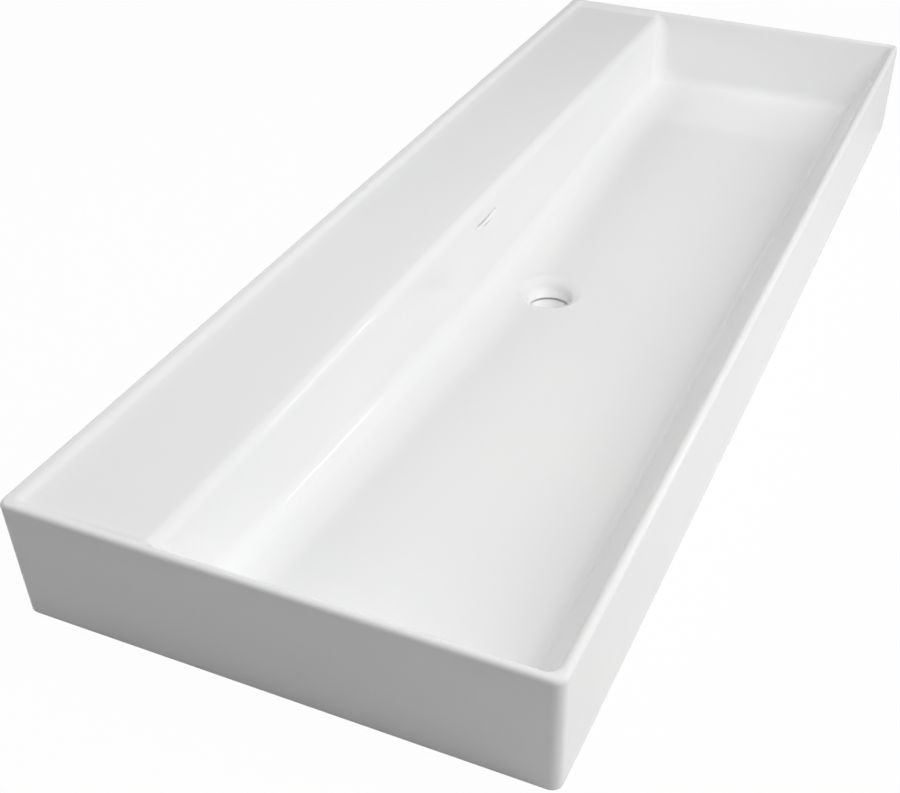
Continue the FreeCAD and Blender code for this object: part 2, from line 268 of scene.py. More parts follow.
in_deck = (0.0, (REAR_EDGE + WALL) / 2, (DECK + DECK_UNDER) / 2)
print("clay of the deck in mm:", round(-(upper_skin(*in_deck) + lower_skin(*in_deck)) / mm, 2))

# %% [markdown]
# ## Grid lines
# The mesh starts as a plain folded sheet with sharp edges: flat floor, flat walls, flat deck. Its lines
# are close together near an edge that will be rounded and wide apart on the flats. Each of its points
# then slides onto the skin, so the lines near an edge land evenly round the arc.


# %% Space the lines of the sheet
ARC_STEPS = 4
FRONT_ARC_STEPS = 9
FLAT_SPACING = 12 * mm
WALL_SPACING = 6 * mm
REAR_SPACING = 3.2 * mm
REAR_FLAT = 16 * mm
RAMP_SHARE, FRONT_SHARE = 0.85, 0.15
BLOCK = 54 * mm
BLOCK_CELLS = 24
BOLT_BLOCK = 24 * mm
BOLT_CELLS = 12
bolts = next(mount for mount in frame["record"]["mounts"] if mount["name"] == "wall_bolts")
BOLT_X = bolts["dims"]["spacing_x_mm"] * mm / 2
BOLT_Z = bolts["pos_m"][2]
BOLT_RADIUS = bolts["dims"]["hole_r_mm"] * mm


def stretch(length, near=0.0, far=0.0, spacing=FLAT_SPACING, arc_steps=ARC_STEPS):
    """Places along a flat between two edges, as shares of its length.

    Within a rounding's radius of an edge the distance from it is the radius times one less the tangent of an
    angle that goes up in equal steps to 45 degrees. Between the roundings the places are evenly spaced.
    """
    steps = 1 - np.tan(np.linspace(0, np.pi / 4, arc_steps + 1))
    count = max(1, math.ceil((length - near - far) / spacing))
    middle = np.linspace(near, length - far, count + 1)
    head = near * steps[::-1] if near else []
    tail = length - far * steps if far else []
    return np.unique(np.round(np.concatenate([head, middle, tail]) / length, 6))


def even(count):
    """Shares of a flat that is divided into equal cells."""
    return np.linspace(0, 1, count + 1)


def joined(keys, shares):
    """Lines through all the flats between neighbouring keys, each flat divided by its own shares."""
    lines = [low + (high - low) * share for low, high, share in zip(keys, keys[1:], shares)]
    return np.concatenate([lines[0]] + [line[1:] for line in lines[1:]])


def end_foot(shell):
    """X where the floor meets the right end wall, found by going to and fro between the two planes."""
    x = HALF
    for _ in range(30):
        rise = RIM - floor_height(x) + shell / np.cos(FLOOR_FALL)
        x = HALF - RIM_WIDTH + shell / np.cos(END_LEAN) - rise * np.tan(END_LEAN)
    return x


foot = end_foot(0.0)
wall_length = (RIM - floor_height(foot)) / np.cos(END_LEAN)
rear_length = (DECK - floor_height(foot)) / np.cos(REAR_LEAN)
wall_shares = stretch(wall_length, BOWL_COVE, RIM_INNER_ROUND, WALL_SPACING)
rim_shares = stretch(RIM_WIDTH, RIM_WIDTH - RIM_OUTER_ROUND, RIM_OUTER_ROUND)
back_shares = stretch(APRON_WALL, RIM_INNER_ROUND, RIM_OUTER_ROUND)
x_keys = [0, BLOCK, BOLT_X - BOLT_BLOCK, BOLT_X + BOLT_BLOCK, foot, HALF - RIM_WIDTH, HALF]
x_shares = [even(BLOCK_CELLS // 2), stretch(BOLT_X - BOLT_BLOCK - BLOCK), even(BOLT_CELLS),
            stretch(foot - BOLT_X - BOLT_BLOCK, 0, BOWL_COVE), wall_shares, rim_shares]
half_lines = joined(x_keys, x_shares)
x_lines = np.concatenate([-half_lines[:0:-1], half_lines])
front_shares = stretch(wall_length, BOWL_COVE, RIM_INNER_ROUND, WALL_SPACING, FRONT_ARC_STEPS)
front_floor = -BLOCK - FRONT - RIM_WIDTH - (RIM - FLOOR_LOW) * np.tan(FRONT_LEAN)
y_shares = [1 - rim_shares[::-1], 1 - front_shares[::-1],
            stretch(front_floor, BOWL_COVE, 0, FLAT_SPACING, FRONT_ARC_STEPS), even(BLOCK_CELLS),
            stretch(REAR_FLAT, 0, REAR_FLAT), stretch(rear_length, BOWL_COVE, DECK_EDGE_ROUND, REAR_SPACING),
            stretch(WALL - APRON_WALL - REAR_EDGE, DECK_EDGE_ROUND, DECK_COVE), even(4), back_shares]
print("lines along x:", len(x_lines), "and along y:", sum(len(share) - 1 for share in y_shares) + 1)

# %% [markdown]
# ## Three sheets
# The upper sheet is everything seen from above, the lower sheet everything seen from below, and the
# skirt is a band of rings between their borders: down the apron, across the edge that it stands on and
# up again inside. All three have the same lines, so that holes can be cut straight from one sheet to the
# other.


# %% Fold the sheets and slide them onto the skin
def sheet_lines(keys):
    """Plan of a sheet: x of each line, and y on each line between keys that may change with x."""
    wide_keys = [np.broadcast_to(key, x_lines.shape) for key in keys]
    return joined(wide_keys, [share[:, None] for share in y_shares]).T


def upper_sheet():
    """Sharp shape seen from above: the highest of floor and walls, cut off at the deck and the rim."""
    floor = floor_height(np.minimum(np.abs(x_lines), foot))
    front_foot = FRONT + RIM_WIDTH + (RIM - floor) * np.tan(FRONT_LEAN)
    rear_foot = REAR_EDGE - (DECK - floor) * np.tan(REAR_LEAN)
    back_foot = WALL - APRON_WALL - (RIM - DECK) * np.tan(BACK_LEAN)
    y = sheet_lines([FRONT, FRONT + RIM_WIDTH, front_foot, -BLOCK, BLOCK, rear_foot, REAR_EDGE, back_foot,
                     WALL - APRON_WALL, WALL])
    x = np.broadcast_to(x_lines[:, None], y.shape)
    ends = RIM - (HALF - RIM_WIDTH - np.abs(x)) / np.tan(END_LEAN)
    front = RIM - (y - FRONT - RIM_WIDTH) / np.tan(FRONT_LEAN)
    rear = np.minimum(DECK, DECK - (REAR_EDGE - y) / np.tan(REAR_LEAN))
    back = RIM - (WALL - APRON_WALL - y) / np.tan(BACK_LEAN)
    z = np.minimum(RIM, np.maximum.reduce([floor_height(x), ends, front, rear, back]))
    return np.stack([x, y, z])


def lower_sheet():
    """Sharp shape seen from below: the lines moved out by the shell, cut off at the underside of the deck."""
    edge = HALF - APRON_WALL
    under_foot = end_foot(SHELL)
    ramp = under_foot + (edge - under_foot) * RAMP_SHARE
    upper_keys, under_keys = [0, foot, HALF - RIM_WIDTH, HALF], [0, under_foot, ramp, edge]
    x = np.sign(x_lines) * np.interp(np.abs(x_lines), upper_keys, under_keys)
    floor = floor_height(np.minimum(np.abs(x), under_foot)) - SHELL / np.cos(FLOOR_FALL)
    out_front, out_rear = SHELL / np.cos(FRONT_LEAN), SHELL / np.cos(REAR_LEAN)
    front_edge, back_edge = FRONT + APRON_WALL, WALL - APRON_WALL
    front_foot = FRONT + RIM_WIDTH - out_front + (RIM - floor) * np.tan(FRONT_LEAN)
    rear_foot = REAR_EDGE + out_rear - (DECK - floor) * np.tan(REAR_LEAN)
    rear_top = REAR_EDGE + out_rear - (DECK - DECK_UNDER) * np.tan(REAR_LEAN)
    front_rise = front_edge + FRONT_SHARE * (front_foot - front_edge)
    y = sheet_lines([front_edge, front_rise, front_foot, -BLOCK, BLOCK, rear_foot, rear_top,
                     back_edge - 2 * HOLLOW_ROUND, back_edge - HOLLOW_ROUND, back_edge])
    x = np.broadcast_to(x[:, None], y.shape)
    ends = RIM - (HALF - RIM_WIDTH + SHELL / np.cos(END_LEAN) - np.abs(x)) / np.tan(END_LEAN)
    front = RIM - (y - FRONT - RIM_WIDTH + out_front) / np.tan(FRONT_LEAN)
    rear = DECK - (REAR_EDGE + out_rear - y) / np.tan(REAR_LEAN)
    base = floor_height(x) - SHELL / np.cos(FLOOR_FALL)
    z = np.minimum(DECK_UNDER, np.maximum.reduce([base, ends, front, rear]))
    return np.stack([x, y, z])


def border(grid):
    """The rim of a grid of numbers or points as one closed run: front, right, back, left."""
    parts = [grid[..., :-1, 0], grid[..., -1, :-1], grid[..., :0:-1, -1], grid[..., 0, :0:-1]]
    return np.concatenate(parts, axis=-1)


bolt_high, bolt_low = BOLT_Z + BOLT_BLOCK, BOLT_Z - BOLT_BLOCK
fall_shares = [stretch(RIM - bolt_high, RIM_OUTER_ROUND), even(BOLT_CELLS),
               stretch(bolt_low, 0, BEARING_ROUND)]
climb_shares = [stretch(bolt_low, BEARING_ROUND), even(BOLT_CELLS),
                stretch(DECK_UNDER - bolt_high, 0, HOLLOW_ROUND)]


def skirt_rings(upper, lower):
    """Rings from the upper sheet's border down the apron, across its foot and up to the lower sheet."""
    fall = joined([RIM, bolt_high, bolt_low, 0], fall_shares)
    inset = APRON_WALL * stretch(APRON_WALL, BEARING_ROUND, BEARING_ROUND)
    climb = joined([0, bolt_low, bolt_high, DECK_UNDER], climb_shares) / DECK_UNDER
    x, y, _ = border(upper)
    down = [np.stack([x, y, np.full_like(x, z)]) for z in fall[1:]]
    across = []
    for step in inset[1:]:
        near_y = MIDDLE_Y + (y - MIDDLE_Y) * (HALF_DEPTH - step) / HALF_DEPTH
        across.append(np.stack([x * (HALF - step) / HALF, near_y, np.zeros_like(x)]))
    rise = border(lower) - across[-1]
    up = [across[-1] + rise * share for share in climb[1:-1]]
    return np.stack(down + across + up, axis=1), len(down), len(down) + len(across)


upper_sharp, lower_sharp = upper_sheet(), lower_sheet()
skirt_sharp, foot_ring, climb_ring = skirt_rings(upper_sharp, lower_sharp)
upper = slide_onto(upper_skin, upper_sharp)
skirt, lower = slide_onto(lower_skin, skirt_sharp), slide_onto(lower_skin, lower_sharp)
folded = {"upper": (upper_skin, upper), "skirt": (lower_skin, skirt), "lower": (lower_skin, lower)}
for name, (skin, sheet) in folded.items():
    furthest = np.abs(skin(*sheet)).max() / mm
    print(name, "sheet:", sheet[0].size, "points, furthest from the skin in mm:", furthest)

# %% [markdown]
# ## Holes
# The clay has four holes: the waste in the floor, the overflow in the rear wall and two bolt holes in
# the back. Each is a profile carried round an outline. The profile says how far a ring stands out from
# the outline and how deep it lies in the clay, and its corners are rounded, because a knife edge would
# shed its glaze. A block of cells is left out of the two sheets, and the rings fill the gap from one
# sheet to the other.


# %% Round a profile and carry it round an outline
def rounded_profile(corners, radii, steps=6):
    """A polyline of (grow, depth) corners with an arc at each inner corner, and its normals.

    The arc touches both sides at radius times the tangent of half the turn from the corner. Going along it,
    the normal is the direction of travel turned by a quarter, to the side where the air is.
    """
    corners = np.array(corners, dtype=float)
    ways = np.diff(corners, axis=0)
    ways /= np.linalg.norm(ways, axis=1)[:, None]
    crossed = ways[:-1, 0] * ways[1:, 1] - ways[:-1, 1] * ways[1:, 0]
    turns = np.arctan2(crossed, (ways[:-1] * ways[1:]).sum(1))
    places, headings = [corners[:1]], [ways[:1]]
    for corner, way, turn, radius in zip(corners[1:-1], ways, turns, radii):
        share = abs(turn) * np.linspace(0, 1, steps + 1)[:, None]
        side = np.sign(turn) * np.array([-way[1], way[0]])
        start = corner - way * radius * np.tan(abs(turn) / 2)
        places.append(start + radius * (way * np.sin(share) + side * (1 - np.cos(share))))
        headings.append(way * np.cos(share) + side * np.sin(share))
    places = np.concatenate(places + [corners[-1:]])
    headings = np.concatenate(headings + [ways[-1:]])
    return places, np.stack([-headings[:, 1], headings[:, 0]], axis=1)


def carried(outline, outward, inward, places, normals):
    """Rings of a profile round an outline, outline + outward * grow + inward * depth, with normals."""
    grow, depth = places.T[:, :, None]
    side, face = normals.T[:, :, None]
    inward = inward[:, None, None]
    rings = outline[:, None] + outward[:, None] * grow + inward * depth
    return rings, outward[:, None] * side + inward * face


def round_outline(first_angle, way, count):
    """Directions round a circle in equal steps, starting at the angle of a block's first corner."""
    angle = np.radians(first_angle) + way * 2 * np.pi * np.arange(count) / count
    return np.cos(angle), np.sin(angle)


print("a square turn in", len(rounded_profile([(1, 0), (0, 0), (0, 1)], [0.2])[0]), "points")

# %% [markdown]
# ## The waste
# The floor dips softly into the waste hole. Below the lip the bore is 46 mm wide, with a groove round it
# where the water from the overflow comes in, and a thick boss hangs under the floor for the waste
# fitting to clamp on.

# %% Shape the waste hole and its boss
waste = next(mount for mount in frame["record"]["mounts"] if mount["name"] == "drain")
WASTE_RADIUS = waste["dims"]["r_mm"] * mm
FLARE, FLARE_DEPTH = 11 * mm, 6 * mm
GROOVE, GROOVE_TOP, GROOVE_LOW = 6 * mm, -10 * mm, -13 * mm
BOSS = BOSS_RADIUS - WASTE_RADIUS
CALM = 19 * mm
BOSS_SPREAD = 4 * mm
FLARE_ROUND, LIP_ROUND, GROOVE_ROUND = 9 * mm, 10 * mm, 0.8 * mm
BORE_ROUND, BOSS_ROUND, SHOULDER_ROUND = 1 * mm, 2 * mm, 3.5 * mm
WASTE_FLOOR_RINGS = (0.3, 0.65)


def waste_rings():
    """The floor's edge, the flare, the grooved bore and the boss as one profile round the drain's axis."""
    bottom, base = FLOOR_LOW - BOSS_BOTTOM, SHELL
    depths = [0, 0, FLARE_DEPTH, FLOOR_LOW - GROOVE_TOP, FLOOR_LOW - GROOVE_TOP, FLOOR_LOW - GROOVE_LOW,
              FLOOR_LOW - GROOVE_LOW, bottom, bottom, base, base]
    grows = [CALM, FLARE, 0, 0, GROOVE, GROOVE, 0, 0, BOSS, BOSS, BOSS + BOSS_SPREAD]
    radii = [FLARE_ROUND, LIP_ROUND, *[GROOVE_ROUND] * 4, BORE_ROUND, BOSS_ROUND, SHOULDER_ROUND]
    places, normals = rounded_profile(np.column_stack([grows, depths]), radii)
    east, north = round_outline(-135, 1, 4 * BLOCK_CELLS)
    outward = np.stack([east, north, np.zeros_like(east)])
    edge = outward * WASTE_RADIUS + [[0], [0], [FLOOR_LOW]]
    rings, facing = carried(edge, outward, np.array([0, 0, -1.0]), places, normals)
    share = np.clip(2 * places[:, 0] / FLARE - 1, 0, 1) * (places[:, 1] <= base)
    valley = (floor_height(rings[0]) - FLOOR_LOW) * share[:, None]
    outside = (places[:, 0] > GROOVE) & (places[:, 1] >= base)
    return rings + np.stack([0 * valley, 0 * valley, valley]), facing, outside


waste_points, waste_facing, waste_bare = waste_rings()
print("waste rings:", waste_points.shape[1], "lowest in mm:", round(waste_points[2].min() / mm, 2))

# %% [markdown]
# ## The overflow and the bolt holes
# The overflow is a half moon, straight on top and round below, with a soft lower lip for the water to
# run over. The bolt holes are plain and go through the back of the apron, into the pads behind it.

# %% Shape the overflow and the bolt holes
MOON_HALF, MOON_HEIGHT, MOON_TOP = 25 * mm, 3 * mm, DECK - 22 * mm
MOON_CELLS = 8
UPPER_LIP, LOWER_LIP = 3 * mm, 2.5 * mm
LIP_STEPS = 8
MOON_FLOOR_RINGS = (0.4, 0.75)
BOLT_MOUTH, BOLT_ROUND = 4 * mm, 1 * mm
y_starts = np.cumsum([0] + [len(share) - 1 for share in y_shares])
middle = len(half_lines) - 1


def rear_y(z, shell=0.0):
    """Y of the bowl's rear wall at a height, or of the back of its shell."""
    return REAR_EDGE + shell / np.cos(REAR_LEAN) - (DECK - z) * np.tan(REAR_LEAN)


def moon_rows():
    """Rows of the rear wall just below and above the half moon and its lips, an even number apart."""
    heights = upper_sharp[2, middle, y_starts[5]:y_starts[6] + 1]
    low = np.searchsorted(heights, MOON_TOP - MOON_HEIGHT - 2 * LOWER_LIP)
    high = np.searchsorted(heights, MOON_TOP + 2 * UPPER_LIP)
    return y_starts[5] + low, y_starts[5] + high + (high - low) % 2


def moon_outline(rows):
    """The half moon from its left tip: along the round lower side, then back along the straight top.

    The lower side is an arc through both tips: radius (half width squared + height squared) / (2 height).
    """
    half_count = 2 * MOON_CELLS + rows
    radius = (MOON_HALF**2 + MOON_HEIGHT**2) / (2 * MOON_HEIGHT)
    opening = np.arcsin(MOON_HALF / radius)
    angle = opening * np.linspace(-1, 1, half_count + 1)[:-1]
    arc_x, arc_z = radius * np.sin(angle), MOON_TOP - MOON_HEIGHT + radius * (1 - np.cos(angle))
    top_x = np.linspace(MOON_HALF, -MOON_HALF, half_count + 1)[:-1]
    x = np.concatenate([arc_x, top_x])
    z = np.concatenate([arc_z, np.full(half_count, MOON_TOP)])
    along_x, along_z = np.roll(x, -1) - np.roll(x, 1), np.roll(z, -1) - np.roll(z, 1)
    length = np.hypot(along_x, along_z)
    shift = rows // 2
    return [np.roll(a, -shift) for a in (x, z, along_z / length, -along_x / length)]


def moon_rings(first_row, last_row):
    """Lips and walls of the overflow: a quarter arc at the bowl's side, then back through the shell."""
    x, z, out_x, out_z = moon_outline(last_row - first_row)
    lip = np.interp(out_z, [-1, 1], [LOWER_LIP, UPPER_LIP])
    turn = np.linspace(0, np.pi / 2, LIP_STEPS + 1)[:, None]
    spread, sunk = lip * (1 - np.sin(turn)), lip * (1 - np.cos(turn))
    ring_x, ring_z = x + out_x * spread, z + out_z * spread
    lips = np.stack([ring_x, rear_y(ring_z) + sunk, ring_z])
    facing = np.stack([-out_x * np.sin(turn), -np.cos(turn) * np.cos(REAR_LEAN) + 0 * x,
                       np.cos(turn) * np.sin(REAR_LEAN) - out_z * np.sin(turn)])
    back = np.stack([x, rear_y(z, SHELL), z])[:, None]
    inside = np.stack([-out_x, 0 * x, -out_z])[:, None]
    return np.concatenate([lips, back], axis=1), np.concatenate([facing, inside], axis=1)


def bolt_rings(x):
    """A bolt hole through the back of the apron, with a slightly rounded edge on the wall's side."""
    places, normals = rounded_profile([(BOLT_MOUTH, 0), (0, 0), (0, APRON_WALL)], [BOLT_ROUND])
    east, up = round_outline(45, -1, 4 * BOLT_CELLS)
    outward = np.stack([east, 0 * east, up])
    edge = outward * BOLT_RADIUS + [[x], [WALL], [BOLT_Z]]
    return carried(edge, outward, np.array([0, -1.0, 0]), places, normals)


moon_low, moon_high = moon_rows()
moon_points, moon_facing = moon_rings(moon_low, moon_high)
print("overflow rows:", moon_high - moon_low, "rings:", moon_points.shape[1])

# %% [markdown]
# ## One closed mesh
# Points and faces of all sheets and holes are numbered in one list. Each face is listed anticlockwise as
# seen from the air, so the normals point outwards. The exact normals are known from the slope of the
# skin, and they are stored with the mesh, so that wide flat cells beside a narrow rounding stay flat in
# reflections.

# %% Number the points and list the faces
clay_points, clay_normals, clay_bare, clay_faces = [], [], [], []


def keep_points(points, facing, bare):
    """Appends points of any grid shape and gives back their numbers in that shape."""
    start = sum(len(block) for block in clay_points)
    clay_points.append(points.reshape(3, -1).T)
    clay_normals.append((facing / np.linalg.norm(facing, axis=0)).reshape(3, -1).T)
    clay_bare.append(np.broadcast_to(bare, points.shape[1:]).ravel())
    return start + np.arange(points[0].size).reshape(points.shape[1:])


def keep_cells(grid, gone=(), turned=False):
    """Faces of a grid of point numbers, without the blocks of cells that holes take up."""
    cells = np.stack([grid[:-1, :-1], grid[1:, :-1], grid[1:, 1:], grid[:-1, 1:]], axis=-1)
    stays = np.ones(cells.shape[:2], dtype=bool)
    for rows, columns in gone:
        stays[rows, columns] = False
    cells = cells[stays]
    clay_faces.append(cells[:, ::-1] if turned else cells)


def keep_tunnel(*rings):
    """Faces of a band between each ring of point numbers and the next one, further into the clay."""
    stack = np.vstack(rings)
    closed = np.column_stack([stack, stack[:, :1]])
    keep_cells(closed.T)


middle_rows = slice(y_starts[3], y_starts[4])
waste_block = (slice(middle - BLOCK_CELLS // 2, middle + BLOCK_CELLS // 2), middle_rows)
moon_block = (slice(middle - MOON_CELLS, middle + MOON_CELLS), slice(moon_low, moon_high))
upper_ids = keep_points(upper, slope(upper_skin, upper), 0.0)
lower_ids = keep_points(lower, slope(lower_skin, lower), 1.0)
ring_bare = np.clip((np.arange(skirt.shape[1]) - foot_ring + 1) / ARC_STEPS, 0, 1)[:, None]
skirt_ids = keep_points(skirt, slope(lower_skin, skirt), ring_bare)
rings = np.vstack([border(upper_ids), skirt_ids, border(lower_ids)])
rings = np.column_stack([rings, rings[:, :1]])


def block_border(ids, block):
    """Numbers round the edge of a block of cells."""
    first, second = block
    return border(ids[first.start:first.stop + 1, second.start:second.stop + 1])


def keep_floor_rings(edge, inner, shares):
    """Rings between the square edge of a block and a round or half-moon ring within it, on the skin."""
    square = np.concatenate(clay_points).T[:, edge]
    between = np.stack([square + (inner - square) * share for share in shares], axis=1)
    between = slide_onto(upper_skin, between)
    return keep_points(between, slope(upper_skin, between), 0.0)


keep_cells(upper_ids, [waste_block, moon_block])
keep_cells(lower_ids, [waste_block, moon_block], turned=True)
waste_edge = block_border(upper_ids, waste_block)
waste_ids = keep_points(waste_points, waste_facing, waste_bare[:, None].astype(float))
keep_tunnel(waste_edge, keep_floor_rings(waste_edge, waste_points[:, 0], WASTE_FLOOR_RINGS), waste_ids,
            block_border(lower_ids, waste_block))
moon_edge = block_border(upper_ids, moon_block)
moon_ids = keep_points(moon_points, moon_facing, 0.0)
keep_tunnel(moon_edge, keep_floor_rings(moon_edge, moon_points[:, 0], MOON_FLOOR_RINGS), moon_ids,
            block_border(lower_ids, moon_block))

bolt_first = BLOCK_CELLS // 2 + len(x_shares[1]) - 1
fall_rows = slice(len(fall_shares[0]) - 1, len(fall_shares[0]) - 1 + BOLT_CELLS)
climb_start = climb_ring + len(climb_shares[0]) - 1
climb_rows = slice(climb_start, climb_start + BOLT_CELLS)
back_start = 2 * (len(x_lines) - 1) + y_starts[-1]
bolt_gaps = []
for side in (1, -1):
    nearest, furthest = sorted((middle + side * bolt_first, middle + side * (bolt_first + BOLT_CELLS)))
    columns = slice(back_start - furthest, back_start - nearest)
    bolt_gaps += [(fall_rows, columns), (climb_rows, columns)]
    bolt_points, bolt_facing = bolt_rings(side * BOLT_X)
    bolt_ids = keep_points(bolt_points, bolt_facing, 1.0)
    climb_block = rings[climb_rows.start:climb_rows.stop + 1, columns.start:columns.stop + 1][::-1]
    keep_tunnel(block_border(rings, (fall_rows, columns)), bolt_ids, border(climb_block))
keep_cells(rings, bolt_gaps)
print("points:", sum(map(len, clay_points)), "faces:", sum(map(len, clay_faces)))

# %% Make the basin's mesh
GLAZED_NODES = ["rim_front", "rim_left", "rim_right", "deck", "apron_front", "apron_back", "apron_left",
                "apron_right", "bowl_front", "bowl_back_left", "overflow_panel", "bowl_back_right",
                "bowl_left", "bowl_right", "bowl_floor", "drain_boss"]


def closed_mesh(name, points, faces, normals, bare):
    """A smooth mesh of four-sided faces with its own normals, and how bare of glaze each point is."""
    mesh = bpy.data.meshes.new(name)
    mesh.from_pydata(points.tolist(), [], faces.tolist())
    mesh.polygons.foreach_set("use_smooth", np.ones(len(faces), dtype=bool))
    attribute = mesh.attributes.new("bare", "FLOAT", "POINT")
    attribute.data.foreach_set("value", bare.astype(np.float32))
    mesh.update()
    mesh.normals_split_custom_set_from_vertices(normals.tolist())
    return mesh


def open_edges(mesh):
    """Number of edges without exactly two faces, and the volume, as a test that the skin is closed."""
    solid = bmesh.new()
    solid.from_mesh(mesh)
    loose = sum(len(edge.link_faces) != 2 for edge in solid.edges)
    volume = solid.calc_volume(signed=True)
    solid.free()
    return loose, volume


body_mesh = closed_mesh("basin_body", np.concatenate(clay_points), np.concatenate(clay_faces),
                        np.concatenate(clay_normals), np.concatenate(clay_bare))
basin_body = bpy.data.objects.new("basin_body", body_mesh)
bpy.context.scene.collection.objects.link(basin_body)
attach(basin_body, "root")
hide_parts(*GLAZED_NODES)
loose, volume = open_edges(body_mesh)
triangles = 2 * len(body_mesh.polygons)
print("open edges:", loose, "clay in litres:", round(volume * 1000, 3), "triangles:", triangles)

# %% [markdown]
# ## Glaze and biscuit
# Sanitary glaze is a thick white glass with fine zircon grains in it. It is very smooth, but it flows a
# little as it melts, so reflections ripple like those in orange peel, and a few grains and pinholes stay
# in it. Where it isn't glazed the fired clay, called biscuit, is warmer in colour, dull and grainy. Both
# are noise at several sizes, and each is a node group, so that the glazed body and the pieces below it
# share them.


# %% Build the two finishes as node groups
def finish_group(name, inputs, outputs):
    """An empty node group with number inputs and with the outputs that a finish gives."""
    group = bpy.data.node_groups.new(name, "ShaderNodeTree")
    for label, value in inputs.items():
        socket = group.interface.new_socket(label, in_out="INPUT", socket_type="NodeSocketFloat")
        socket.default_value = value
    for label, kind in outputs.items():
        group.interface.new_socket(label, in_out="OUTPUT", socket_type=kind)
    return group, group.nodes.new("NodeGroupInput"), group.nodes.new("NodeGroupOutput")


def noise(tree, place, scale, detail=2.0, roughness=0.5):
    """Noise at a scale in waves per metre, read at a place."""
    node = tree.nodes.new("ShaderNodeTexNoise")
    node.inputs["Scale"].default_value = scale
    node.inputs["Detail"].default_value = detail
    node.inputs["Roughness"].default_value = roughness
    tree.links.new(place, node.inputs["Vector"])
    return node.outputs["Fac"]


def remap(tree, value, low, high, to_low=0.0, to_high=1.0):
    """Stretches a range of values onto another range, held at its ends."""
    node = tree.nodes.new("ShaderNodeMapRange")
    limits = {"From Min": low, "From Max": high, "To Min": to_low, "To Max": to_high}
    for label, number in limits.items():
        node.inputs[label].default_value = number
    tree.links.new(value, node.inputs["Value"])
    return node.outputs["Result"]


def blend_colour(tree, share, first, second):
    """Mixes two colours, each a fixed one or another node's output, by a share from 0 to 1."""
    node = tree.nodes.new("ShaderNodeMix")
    node.data_type = "RGBA"
    colours = [socket for socket in node.inputs if socket.type == "RGBA"]
    for socket, colour in zip(colours, (first, second)):
        if isinstance(colour, bpy.types.NodeSocket):
            tree.links.new(colour, socket)
        else:
            socket.default_value = (*colour, 1.0)
    tree.links.new(share, node.inputs["Factor"])
    return next(socket for socket in node.outputs if socket.type == "RGBA")


def combine(tree, operation, first, second):
    """One Math node on two values, each a number or another node's output."""
    node = tree.nodes.new("ShaderNodeMath")
    node.operation = operation
    for socket, value in zip(node.inputs, (first, second)):
        if isinstance(value, bpy.types.NodeSocket):
            tree.links.new(value, socket)
        else:
            socket.default_value = value
    return node.outputs["Value"]


def specks(tree, place, scale, size, share):
    """Round dots at random places, in the middle of a share of Voronoi cells, chosen by the cell's colour."""
    cells = tree.nodes.new("ShaderNodeTexVoronoi")
    cells.inputs["Scale"].default_value = scale
    tree.links.new(place, cells.inputs["Vector"])
    dot = remap(tree, cells.outputs["Distance"], size, size * 0.5)
    split = tree.nodes.new("ShaderNodeSeparateColor")
    tree.links.new(cells.outputs["Color"], split.inputs["Color"])
    chosen = combine(tree, "LESS_THAN", split.outputs["Red"], share)
    return combine(tree, "MULTIPLY", dot, chosen)


GLAZE_ROUGHNESS, GLAZE_RIPPLE, BISCUIT_PITS = 0.055, 0.2, 0.6
CERAMIC_IOR = 1.5
BUMP_HEIGHT = 0.1 * mm
PEEL_SHARE, GRAIN_DIP = 0.35, 0.4
GROG_TINT, GROG_DIP = 0.55, 0.8
FINISH_OUTPUTS = {"Color": "NodeSocketColor", "Roughness": "NodeSocketFloat", "Height": "NodeSocketFloat"}
GLAZE_WHITE, GLAZE_COOL = (0.900, 0.899, 0.896), (0.888, 0.890, 0.892)
GLAZE_SPECK = (0.62, 0.60, 0.56)
BISCUIT_PALE, BISCUIT_DARK = (0.76, 0.71, 0.62), (0.66, 0.60, 0.51)
BISCUIT_GRAIN = (0.42, 0.36, 0.29)


def glaze_finish():
    """Glaze: a faint drift of tint, rare grains, and a ripple of two wavelengths for the height."""
    inputs = {"Gloss Roughness": GLAZE_ROUGHNESS, "Ripple": 1.0}
    group, given, result = finish_group("sanitary_glaze", inputs, FINISH_OUTPUTS)
    place = group.nodes.new("ShaderNodeTexCoord").outputs["Object"]
    drift = remap(group, noise(group, place, scale=5.0, detail=3.0), low=0.35, high=0.65)
    grains = specks(group, place, scale=120.0, size=0.045, share=0.10)
    tone = blend_colour(group, drift, GLAZE_WHITE, GLAZE_COOL)
    group.links.new(blend_colour(group, grains, tone, GLAZE_SPECK), result.inputs["Color"])
    streaks = noise(group, place, scale=14.0, detail=4.0, roughness=0.6)
    film = remap(group, streaks, low=0.3, high=0.7, to_low=0.85, to_high=1.25)
    gloss = combine(group, "MULTIPLY", film, given.outputs["Gloss Roughness"])
    group.links.new(gloss, result.inputs["Roughness"])
    peel = combine(group, "MULTIPLY", noise(group, place, scale=160.0, detail=1.0), PEEL_SHARE)
    swell = combine(group, "ADD", noise(group, place, scale=45.0, detail=1.0), peel)
    dimpled = combine(group, "SUBTRACT", swell, combine(group, "MULTIPLY", grains, GRAIN_DIP))
    group.links.new(combine(group, "MULTIPLY", dimpled, given.outputs["Ripple"]), result.inputs["Height"])
    return group


